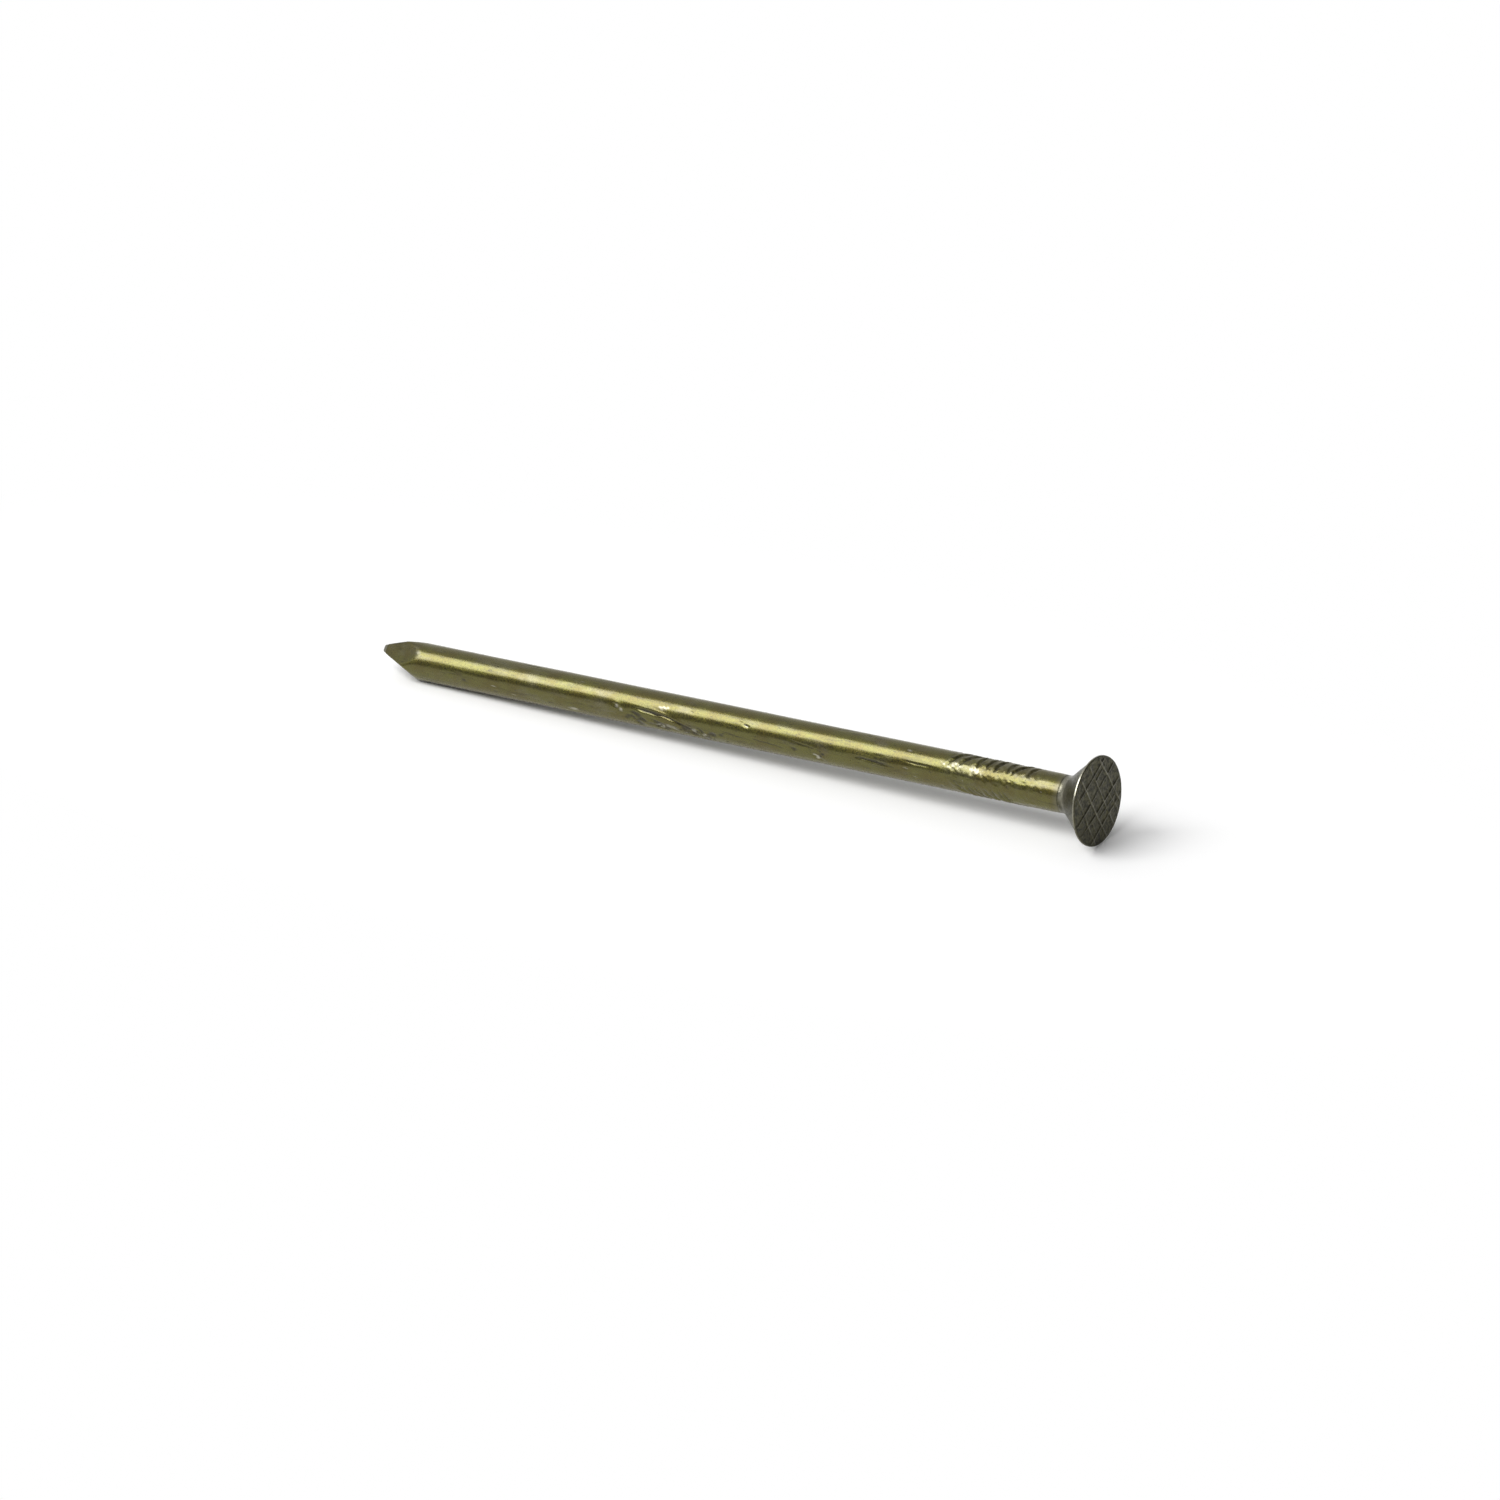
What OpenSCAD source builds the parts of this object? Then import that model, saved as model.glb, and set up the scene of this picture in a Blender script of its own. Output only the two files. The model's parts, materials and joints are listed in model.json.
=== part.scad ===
// A coated sinker nail, lying on the rim of its head and the end of its shank, with the head
// toward +X. Millimetres, +Z up.

/* [Wire] */
// Overall length, from the tip to the tops of the ridges on the head
nail_l = 82.55; // [55:0.05:110]
// Diameter of the bare wire
wire_d = 3.76; // [3:0.02:4.8]

/* [Head] */
// Diameter of the head
head_d = 9; // [7:0.1:11.5]
// Thickness of the rim at the edge of the head
rim_t = 0.25; // [0.15:0.01:0.5]
// Bevel round the edge of the struck face
edge_bevel = 0.08; // [0.04:0.01:0.12]
// How far the rim stands out past the countersink cone
rim_lip = 0.3; // [0.1:0.05:0.5]
// Height of the slope from the back of the rim down to the cone
rim_slope_h = 0.1; // [0.05:0.01:0.3]
// Included angle of the countersink cone
seat_angle = 80; // [70:1:100]
// Radius of the fillet where the cone meets the wire
neck_r = 1.3; // [0.6:0.1:2]

/* [Struck face] */
// Ridges in each of the two crossing rows
ridge_n = 4; // [2:1:5]
// Distance between neighbouring ridges
ridge_pitch = 1.75; // [1.2:0.05:2.2]
// Width of a ridge
ridge_w = 0.22; // [0.15:0.01:0.4]
// Height of a ridge above the squares between the ridges
ridge_h = 0.1; // [0.05:0.01:0.2]
// Plain band between the ridges and the edge of the head
plain_band = 0.35; // [0.2:0.05:0.8]
// Direction of the first row of ridges
ridge_turn = 62; // [-90:1:90]

/* [Point] */
// Length of a point facet along its middle
point_l = 5; // [3.5:0.1:7]
// Half the width of the blunt end of the point
tip_half = 0.3; // [0.1:0.01:0.5]
// Direction that the middle of the first facet faces
facet_turn = 53; // [0:1:90]

/* [Grip marks] */
// Depth of a mark below the surface of the bare wire
mark_depth = 0.22; // [0.1:0.01:0.35]
// Included angle of the V of a mark
mark_angle = 90; // [60:1:110]
// Direction that the first gripping die closed from
die_turn = 31; // [-90:1:90]
// Angle between the middle of a die and each of its two rows of marks
row_turn = 52; // [40:1:60]
// Marks in the coarse row
coarse_n = 8; // [3:1:10]
// Distance between marks in the coarse row
coarse_pitch = 1.28; // [1:0.02:1.6]
// Distance from the edge of the coating to the first coarse mark
coarse_start = 3.4; // [2:0.1:6]
// Slant of the coarse marks
coarse_slant = -22; // [-35:1:0]
// Marks in the fine row
fine_n = 9; // [3:1:12]
// Distance between marks in the fine row
fine_pitch = 0.88; // [0.7:0.02:1.2]
// Distance from the edge of the coating to the first fine mark
fine_start = 3.3; // [2:0.1:6]
// Slant of the fine marks
fine_slant = 32; // [0:1:40]
// Depth of a fine mark below the surface of the bare wire
fine_depth = 0.16; // [0.08:0.01:0.2]

/* [Coating] */
// Thickness of the resin film
film_t = 0.04; // [0.03:0.005:0.08]
// Distance from the end of the neck fillet to the edge of the film
film_gap = 0.1; // [0.05:0.05:1]
// Length of the tip that the film leaves bare
bare_tip = 0.4; // [0.2:0.05:1]

/* [Hidden] */
$fn = 96;

wire_r = wire_d / 2;
coat_r = wire_r + film_t;
head_r = head_d / 2;
cone_r = head_r - rim_lip;
ridge_zone_r = head_r - plain_band;

// Heights along the nail, measured from the tip
face_z = nail_l - ridge_h;
rim_back_z = face_z - rim_t;
cone_top_z = rim_back_z - rim_slope_h;
cone_half = seat_angle / 2;
cone_foot_z = cone_top_z - (cone_r - wire_r) / tan(cone_half);
fillet_run = neck_r * tan(cone_half / 2);
neck_end_z = cone_foot_z - fillet_run;
film_top_z = neck_end_z - film_gap;

// The facets lean away from the axis by this much
point_slope = atan((wire_r - tip_half) / point_l);

// How the nail lies: the back of the rim and the round wire just behind the point touch the floor
low_turn = abs((facet_turn + 135) % 90 - 45);
film_tip_half = tip_half + film_t / cos(point_slope);
foot_z = (coat_r * cos(low_turn) - film_tip_half) / tan(point_slope);
rest_tilt = atan((head_r - coat_r) / (rim_back_z - foot_z));
rest_lift = head_r * cos(rest_tilt) - rim_back_z * sin(rest_tilt);
head_end_x = nail_l * cos(rest_tilt) + ridge_zone_r * sin(rest_tilt);
tip_end_x = -tip_half * sin(rest_tilt);

// The ridges are rooted this deep in the head
ridge_root = rim_t / 2;
// Cutters and blanks reach this far past what they cut
over = 1;

// From the upright nail, tip at the origin, to the lying one, with the origin under its middle
module lying() {
    translate([-(head_end_x + tip_end_x) / 2, 0, rest_lift])
        rotate([0, 90 - rest_tilt, 0])
            children();
}

// Turns a child from +X to face a direction round the lying nail, 0 at -Y and 90 at the top
module facing(turn) {
    rotate([0, 0, -90 - turn])
        children();
}

// The space outside one facet of the point, with the facet moved out by grow
module facet_space(grow) {
    size = point_l + wire_d;
    translate([tip_half, 0, 0])
        rotate([0, point_slope, 0])
            translate([grow, -size / 2, -over])
                cube([size, size, 2 * size]);
}

module point_spaces(grow) {
    for (k = [0:3])
        facing(facet_turn + 90 * k)
            facet_space(grow);
}

// Half section of the wire and head, radius along X and height along Y
module nail_section() {
    polygon([
        [0, 0],
        [wire_r, 0],
        [wire_r, cone_foot_z],
        [cone_r, cone_top_z],
        [head_r, rim_back_z],
        [head_r, face_z - edge_bevel],
        [head_r - edge_bevel, face_z],
        [0, face_z]
    ]);
    neck_fillet_section();
}

// The web of metal that rounds the corner between the cone and the wire
module neck_fillet_section() {
    web_r = wire_r + fillet_run * sin(cone_half);
    web_z = cone_foot_z + fillet_run * cos(cone_half);
    difference() {
        polygon([[wire_r, neck_end_z], [web_r, web_z], [wire_r, cone_foot_z]]);
        translate([wire_r + neck_r, neck_end_z])
            circle(r = neck_r, $fn = 180);
    }
}

// Two rows of ridges that cross on the struck face
module face_ridges() {
    intersection() {
        translate([0, 0, face_z - ridge_root])
            cylinder(h = ridge_root + ridge_h, r = ridge_zone_r);
        for (row = [0, 90], k = [0:ridge_n - 1])
            facing(ridge_turn + row)
                translate([-head_r, (k - (ridge_n - 1) / 2) * ridge_pitch - ridge_w / 2, face_z - over])
                    cube([head_d, ridge_w, 2 * over]);
    }
}

// One V across the wire, at the side that faces +X, with its bottom at the radius floor_r
module mark(floor_r, slant) {
    open_h = coat_r - floor_r + over;
    open_w = open_h * tan(mark_angle / 2);
    rotate([slant, 0, 0])
        rotate([90, 0, 0])
            linear_extrude(height = 2 * wire_d, center = true)
                polygon([
                    [floor_r, 0],
                    [floor_r + open_h, open_w],
                    [floor_r + open_h, -open_w]
                ]);
}

// A row of marks along the wire, the first one nearest to the head
module mark_row(turn, count, pitch, start, floor_r, slant) {
    for (k = [0:count - 1])
        translate([0, 0, film_top_z - start - k * pitch])
            facing(turn)
                mark(floor_r, slant);
}

// Each of the two gripping dies leaves a coarse and a fine row; grow moves the walls of every
// mark out by that much, for the film that lines them
module grip_marks(grow) {
    skin_r = wire_r + grow / sin(mark_angle / 2);
    for (die = [die_turn, die_turn + 180]) {
        mark_row(die + row_turn, coarse_n, coarse_pitch, coarse_start, skin_r - mark_depth, coarse_slant);
        mark_row(die - row_turn, fine_n, fine_pitch, fine_start, skin_r - fine_depth, fine_slant);
    }
}

module steel_nail() {
    color([0.36, 0.35, 0.3])
        lying()
            difference() {
                union() {
                    rotate_extrude()
                        nail_section();
                    face_ridges();
                }
                point_spaces(0);
                grip_marks(0);
            }
}

module resin_coating() {
    color([0.64, 0.59, 0.33])
        lying()
            difference() {
                translate([0, 0, bare_tip])
                    cylinder(h = film_top_z - bare_tip, r = coat_r);
                point_spaces(film_t);
                grip_marks(film_t);
                bare_wire();
            }
}

// The wire that the film lies on, with its point and its marks
module bare_wire() {
    difference() {
        translate([0, 0, -over])
            cylinder(h = film_top_z + 2 * over, r = wire_r);
        point_spaces(0);
        grip_marks(0);
    }
}

steel_nail();
resin_coating();
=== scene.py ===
"""A coated sinker nail at rest: headed steel wire with a struck face, gripper marks and a pinched
point, under a scuffed film of resin."""

import json
import math
from collections import namedtuple

import bpy
import numpy as np
from bpy.props import FloatProperty, FloatVectorProperty, IntProperty, PointerProperty
from bpy.types import Operator, Panel, PropertyGroup
from mathutils import Matrix, Vector


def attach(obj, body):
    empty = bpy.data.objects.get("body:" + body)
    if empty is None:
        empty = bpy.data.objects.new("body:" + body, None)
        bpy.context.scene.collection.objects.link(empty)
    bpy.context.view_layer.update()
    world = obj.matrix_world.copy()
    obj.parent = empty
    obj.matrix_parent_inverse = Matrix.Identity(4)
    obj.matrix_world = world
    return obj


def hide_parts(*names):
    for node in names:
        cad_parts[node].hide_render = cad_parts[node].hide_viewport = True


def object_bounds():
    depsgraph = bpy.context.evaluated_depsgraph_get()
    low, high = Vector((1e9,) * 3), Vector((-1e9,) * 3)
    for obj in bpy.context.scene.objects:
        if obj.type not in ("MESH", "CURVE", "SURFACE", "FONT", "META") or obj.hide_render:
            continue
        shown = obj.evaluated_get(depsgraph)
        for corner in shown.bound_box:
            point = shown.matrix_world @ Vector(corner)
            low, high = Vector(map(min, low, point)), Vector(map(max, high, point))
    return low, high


bl_info = {
    "name": "Coated Sinker Nail",
    "version": (1, 0, 0),
    "blender": (4, 5, 0),
    "location": "View3D > Sidebar > Nail",
    "description": "Builds a sinker nail with its struck face, gripper marks, point and resin film",
    "category": "Add Mesh",
}

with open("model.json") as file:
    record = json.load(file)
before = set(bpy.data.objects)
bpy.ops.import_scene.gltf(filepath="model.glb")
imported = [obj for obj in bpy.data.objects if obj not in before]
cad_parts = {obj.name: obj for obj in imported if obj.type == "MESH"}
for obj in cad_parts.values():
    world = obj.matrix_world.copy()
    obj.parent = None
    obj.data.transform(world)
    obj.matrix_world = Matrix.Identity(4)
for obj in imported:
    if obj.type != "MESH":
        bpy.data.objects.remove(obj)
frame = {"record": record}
CAD_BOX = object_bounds()

MM = 0.001
BODY = "root"


def mount(name):
    """The record's mount of that name."""
    return next(m for m in frame["record"]["mounts"] if m["name"] == name)


# The nail's own axis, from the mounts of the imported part
TOWARD_HEAD = -np.array(mount("shank")["axis"], float)
TOWARD_HEAD /= np.linalg.norm(TOWARD_HEAD)
SHANK_POINT = np.array(mount("shank")["pos_m"], float)
FACE_POINT = np.array(mount("struck_face")["pos_m"], float)
FACE_CENTRE = SHANK_POINT + TOWARD_HEAD * ((FACE_POINT - SHANK_POINT) @ TOWARD_HEAD)
SIDE = np.array([0.0, -1.0, 0.0])
UP = np.cross(SIDE, TOWARD_HEAD)
NAIL_LENGTH = (FACE_CENTRE[0] - CAD_BOX[0][0]) / TOWARD_HEAD[0]
FILM_RADIUS = mount("shank")["dims"]["r_mm"] * MM
HEAD_RADIUS = (CAD_BOX[1][1] - CAD_BOX[0][1]) / 2

# Places back from the tops of the face ridges. A pair is where a change begins and ends
HEAD_LEAN_FADES = (3.6 * MM, 1.2 * MM)
WIRE_STARTS = (3.9 * MM, 5.5 * MM)
GRIP_STARTS = (5.0 * MM, 6.5 * MM)
GRIP_ENDS = (17.5 * MM, 15.0 * MM)
# Distances from the end of the tip, and the share by which its very end narrows
TIP_FADES = (1.2 * MM, 0.5 * MM)
BLUNT_REACH = 0.15 * MM
BLUNT_SHARE = 0.25

# Faces round the head and the shank, rows along the wire and rings of the struck face
HEAD_COLUMNS = 320
SHANK_COLUMNS = 160
CORE_ROWS = 300
FACE_RINGS = 72


# ---------------------------------------------------------------- settings


class NailSteelSettings(PropertyGroup):
    """Sizes and colours of the head, and colours of the steel"""
    rim_land: FloatProperty(name="Rim", description="Thickness of the rim of the head",
                            default=0.25 * MM, unit="LENGTH")
    edge_round: FloatProperty(name="Edge rounding", description="Rounding of the face edge",
                              default=0.1 * MM, unit="LENGTH")
    rim_lip: FloatProperty(name="Rim lip", description="How far the rim stands past the cone",
                           default=0.3 * MM, unit="LENGTH")
    rim_slope: FloatProperty(name="Rim slope", description="Height of the slope behind the rim",
                             default=0.1 * MM, unit="LENGTH")
    seat_angle: FloatProperty(name="Seat angle", description="Included angle of the cone",
                              default=math.radians(80), subtype="ANGLE", unit="ROTATION")
    neck_radius: FloatProperty(name="Neck fillet", description="Fillet from cone to wire",
                               default=1.3 * MM, unit="LENGTH")
    lean_side: FloatProperty(name="Lean to the side", description="How far the head is cocked",
                             default=math.radians(2.2), subtype="ANGLE", unit="ROTATION")
    lean_up: FloatProperty(name="Lean up", description="How far the head is cocked upward",
                           default=math.radians(2.4), subtype="ANGLE", unit="ROTATION")
    offset: FloatVectorProperty(name="Offset", size=2, unit="LENGTH",
                                description="How far the head is off the axis, sideways and up",
                                default=(0.28 * MM, 0.08 * MM))
    ridge_height: FloatProperty(name="Ridge height", description="Height of the face ridges",
                                default=0.1 * MM, unit="LENGTH")
    ridge_width: FloatProperty(name="Ridge width", description="Width of a face ridge",
                               default=0.2 * MM, unit="LENGTH")
    ridge_turn: FloatProperty(name="Ridge turn", description="Direction of the first ridges",
                              default=math.radians(62), subtype="ANGLE", unit="ROTATION")
    colour: FloatVectorProperty(name="Steel", description="Colour of the dull steel",
                                default=(0.064, 0.060, 0.036), subtype="COLOR", size=3)
    film_tint: FloatVectorProperty(name="Tinted steel", description="Colour where resin strayed",
                                   default=(0.075, 0.071, 0.037), subtype="COLOR", size=3)
    # Also the colour of the painted highlight on the rim
    worn_and_highlight_colour: FloatVectorProperty(name="Worn steel", description="Colour of rubbed steel",
                                     default=(0.40, 0.385, 0.31), subtype="COLOR", size=3)


class NailPointSettings(PropertyGroup):
    """Sizes of the point"""
    tip_half: FloatProperty(name="Tip", description="Half the width of the blunt end",
                            default=0.33 * MM, unit="LENGTH")
    length: FloatProperty(name="Point length", description="Length over which the tip strays",
                          default=5.0 * MM, unit="LENGTH")
    softness: FloatProperty(name="Ridge rounding", description="Rounding between the facets",
                            default=0.06 * MM, unit="LENGTH")
    shoulder: FloatProperty(name="Shoulder", description="Rounding where a facet meets the wire",
                            default=0.07 * MM, unit="LENGTH")
    offset: FloatProperty(name="Offset", description="How far the tip is off the wire's axis",
                          default=0.48 * MM, unit="LENGTH")
    offset_turn: FloatProperty(name="Offset turn", description="Direction the tip is off to",
                               default=math.radians(116), subtype="ANGLE", unit="ROTATION")


class NailFilmSettings(PropertyGroup):
    """Sizes and colours of the resin film"""
    thickness: FloatProperty(name="Film", description="Thickness of the resin film",
                             default=0.04 * MM, unit="LENGTH")
    gap: FloatProperty(name="Bare neck", description="From the end of the neck to the film",
                       default=0.1 * MM, unit="LENGTH")
    bare_tip: FloatProperty(name="Bare tip", description="Length of the tip without film",
                            default=0.4 * MM, unit="LENGTH")
    olive: FloatVectorProperty(name="Olive", description="Colour of the film over steel",
                               default=(0.103, 0.0965, 0.016), subtype="COLOR", size=3)
    bronze: FloatVectorProperty(name="Bronze", description="Warmer colour of thick film",
                                default=(0.092, 0.077, 0.011), subtype="COLOR", size=3)
    grey: FloatVectorProperty(name="Grey", description="Colour of rubbed film",
                              default=(0.135, 0.125, 0.078), subtype="COLOR", size=3)
    # Dark colour of the dirt streaks and flecks, and of the painted shade in the scars and gripper
    # notches
    soil_and_shade: FloatVectorProperty(name="Soiled", description="Colour of dirt in the scratches",
                                default=(0.022, 0.018, 0.006), subtype="COLOR", size=3)
    edge: FloatVectorProperty(name="Edge", description="Tint of the film seen edge on",
                              default=(0.75, 0.72, 0.6), subtype="COLOR", size=3)
    columns: IntProperty(name="Columns", description="Faces round the film", default=128)
    rows: IntProperty(name="Rows", description="Faces along the film", default=370)


class NailStageSettings(PropertyGroup):
    """The camera, the floor and the light"""
    azimuth: FloatProperty(name="Azimuth", description="Camera direction",
                           default=math.radians(30.7), subtype="ANGLE", unit="ROTATION")
    elevation: FloatProperty(name="Elevation", description="Camera height angle",
                             default=math.radians(24.12), subtype="ANGLE", unit="ROTATION")
    distance: FloatProperty(name="Distance", description="Camera distance",
                            default=0.87, unit="LENGTH")
    view_angle: FloatProperty(name="View angle", description="Camera angle of view",
                              default=math.radians(9.755), subtype="ANGLE", unit="ROTATION")
    aim_right: FloatProperty(name="Aim right", description="Aim point right of the middle",
                             default=1.5 * MM, unit="LENGTH")
    aim_up: FloatProperty(name="Aim up", description="Aim point above the middle",
                          default=-3.63 * MM, unit="LENGTH")
    floor_colour: FloatVectorProperty(name="Floor", description="Colour of the floor",
                                      default=(0.94, 0.94, 0.94), subtype="COLOR", size=3)
    shadow_reach: FloatVectorProperty(name="Shadow reach", unit="LENGTH", size=3,
                                      description="Half size of the floor that shows its shadow",
                                      default=(60 * MM, 28 * MM, 1.0))
    key_strength: FloatProperty(name="Key light", description="Brightness of the softbox",
                                default=5.9)
    room_strength: FloatProperty(name="Room light", description="Brightness of the room",
                                 default=0.98)
    dim_side: FloatProperty(name="Dim side", description="Share of the room's light on the right",
                            default=0.2)
    dim_front: FloatProperty(name="Dim front", description="Share of it low in front",
                             default=0.4)


# ---------------------------------------------------------------- places on the nail


def on_nail(back, radius, turn):
    """Points at a distance back from the tops of the face ridges, at a radius and a turn, which
    is 0 at -Y and a quarter at the top. The arguments are arrays that broadcast."""
    back, radius, turn = np.broadcast_arrays(back, radius, turn)
    across = np.cos(turn)[..., None] * SIDE + np.sin(turn)[..., None] * UP
    return FACE_CENTRE - back[..., None] * TOWARD_HEAD + radius[..., None] * across


def on_head(back, radius, turn, steel):
    """Points of the head, which was struck a little out of square and off the axis."""
    back, radius, turn = np.broadcast_arrays(back, radius, turn)
    share = smooth_step(*HEAD_LEAN_FADES, back)
    x, y = radius * np.cos(turn), radius * np.sin(turn)
    back = back + share * (x * math.tan(steel.lean_side) + y * math.tan(steel.lean_up))
    return on_nail(back, radius, turn) + share[..., None] * (steel.offset[0] * SIDE
                                                             + steel.offset[1] * UP)


def turns(count):
    """Evenly spread turns all the way round."""
    return np.arange(count) * (2 * math.pi / count)


def turn_gap(turn, other):
    """Signed difference of two turns, within half a turn."""
    return (turn - other + math.pi) % (2 * math.pi) - math.pi


def smooth_step(low, high, value):
    """Rises smoothly from 0 at low to 1 at high, and falls where high is the smaller."""
    t = np.clip((value - low) / (high - low), 0, 1)
    return t * t * (3 - 2 * t)


def soft_min(a, b, softness):
    """The smaller of a and b, with the corner between them rounded."""
    h = np.clip(0.5 + 0.5 * (b - a) / softness, 0, 1)
    return b * (1 - h) + a * h - softness * h * (1 - h)


# Odd numbers that scatter the whole-number places of the noise
SCATTER = np.array([73856093, 19349663, 83492791])
SCATTER_SEED = 2654435761
SCATTER_AGAIN = 1274126177


def lattice_noise(points, size, seed):
    """Smooth noise from -1 to 1 that changes over about the given size."""
    p = np.asarray(points) / size + 1000.0
    cell = np.floor(p).astype(np.int64)
    t = p - cell
    t = t * t * (3 - 2 * t)
    total = np.zeros(p.shape[:-1])
    for corner in range(8):
        step = np.array([corner & 1, corner >> 1 & 1, corner >> 2 & 1])
        key = (cell + step) @ SCATTER + seed * SCATTER_SEED
        key = (key ^ (key >> 13)) * SCATTER_AGAIN & 0x7FFFFFFF
        value = (key ^ (key >> 16)) % 65536 / 32767.5 - 1
        total += value * np.prod(np.where(step, t, 1 - t), axis=-1)
    return total


def rough_noise(points, size, seed, octaves=3):
    """Lattice noise with finer noise on it."""
    total = sum(lattice_noise(points, size / 2 ** k, seed + k) / 2 ** k for k in range(octaves))
    return total / (2 - 0.5 ** (octaves - 1))


def gathered(start, end, count, spots):
    """Places from start to end, closer together near each spot (place, reach, gain)."""
    fine = np.linspace(start, end, 6000)
    density = np.ones_like(fine)
    for place, reach, gain in spots:
        density += gain * np.exp(-((fine - place) / reach) ** 4)
    run = np.concatenate([[0], np.cumsum((density[1:] + density[:-1]) / 2)])
    return np.interp(np.linspace(0, run[-1], count), run, fine)


def near_tip(back):
    """How near the end of the tip a place is, from 0 to 1."""
    return smooth_step(*TIP_FADES, NAIL_LENGTH - back)


# ---------------------------------------------------------------- shape of the wire

# Turn in degrees and length in mm of each facet of the point
FACETS = ((42, 4.95), (-48, 4.5), (230, 4.8), (128, 4.9))
# A facet that faces away past this cosine bounds nothing, and is taken to be far off
FACET_COSINE = 0.15
FAR = 1.0


def spine_offset(back):
    """How far the middle of the section is off the axis, which grows over the point."""
    p = bpy.context.scene.nail_point
    return p.offset * np.clip(1 - (NAIL_LENGTH - back) / p.length, 0, 1)


def on_wire(back, radius, turn):
    """Points at a radius from the middle of the section there."""
    p = bpy.context.scene.nail_point
    aside = math.cos(p.offset_turn) * SIDE + math.sin(p.offset_turn) * UP
    off = np.broadcast_to(spine_offset(back), np.broadcast(back, radius, turn).shape)
    return on_nail(back, radius, turn) + off[..., None] * aside


def wire_sides(back, turn):
    """Radius of the round wire and of the facets of its point."""
    p = bpy.context.scene.nail_point
    wire = FILM_RADIUS - bpy.context.scene.nail_film.thickness
    ahead = NAIL_LENGTH - back
    off = spine_offset(back)
    facets = np.full(np.broadcast(back, turn).shape, FAR)
    for facet_turn, length in FACETS:
        middle = math.radians(facet_turn)
        leaning = math.cos(middle - p.offset_turn)
        start = p.tip_half + p.offset * leaning
        slope = (wire - start) / (length * MM)
        out = start + ahead * slope - off * leaning
        facing = np.cos(turn_gap(turn, middle))
        reach = np.where(facing > FACET_COSINE, out / np.maximum(facing, FACET_COSINE), FAR)
        facets = soft_min(facets, reach, p.softness)
    toward = off * np.cos(turn_gap(turn, p.offset_turn))
    round_part = np.sqrt(wire ** 2 - off ** 2 + toward ** 2) - toward
    return round_part, facets


def wire_radius(back, turn):
    """Radius of the wire with its point."""
    round_part, facets = wire_sides(back, turn)
    shoulder = bpy.context.scene.nail_point.shoulder
    blunted = 1 - BLUNT_SHARE * np.clip(1 - (NAIL_LENGTH - back) / BLUNT_REACH, 0, 1) ** 2
    return soft_min(round_part, facets, shoulder) * blunted


# A row of gripper marks, in mm and degrees. The turn is its middle's, first is the place of the
# first mark back from the face, reach is how far each mark goes to each side of the middle, and
# spread is how much the slant varies
GripRow = namedtuple("GripRow", "turn marks pitch first depth half_width reach slant spread")
GRIP_ROWS = (
    GripRow(86, 8, 1.15, 7.0, 0.2, 0.25, 46, -24, 20),
    GripRow(-34, 8, 0.72, 9.2, 0.17, 0.24, 36, 38, 14),
)
DIES = (0, 180)


def gripped_depth(back, turn):
    """Depth of the gripper marks, and how much the metal beside them is smeared up."""
    rng = np.random.default_rng(11)
    points = on_nail(back, FILM_RADIUS, turn)
    wander = 0.13 * MM * rough_noise(points, 0.55 * MM, 17)
    depth = np.zeros(np.broadcast(back, turn).shape)
    lips = np.zeros_like(depth)
    for die in DIES:
        for row in GRIP_ROWS:
            for k in range(row.marks):
                gap = turn_gap(turn, math.radians(row.turn + die + rng.uniform(-5, 5)))
                place = (row.first + k * row.pitch + rng.uniform(-0.14, 0.14)) * MM
                lean = math.tan(math.radians(row.slant + rng.uniform(-row.spread, row.spread)))
                off = (back - place - FILM_RADIUS * gap * lean) / math.hypot(1, lean) + wander
                # a mark is steep toward the head and slopes away toward the point
                width = row.half_width * MM * np.where(off > 0, 1.5, 0.5)
                fade = 1 - (gap / math.radians(row.reach * rng.uniform(0.8, 1.1))) ** 2
                notch = np.clip(fade - np.abs(off) / width, 0, 1)
                depth = np.maximum(depth, row.depth * MM * rng.uniform(0.7, 1.2) * notch)
                lip = np.exp(-((np.abs(off) / width - 1.1) / 0.3) ** 2) * np.clip(fade, 0, 1)
                lips = np.maximum(lips, lip * (1 - np.clip(notch * 4, 0, 1)))
    return depth, lips


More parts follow.
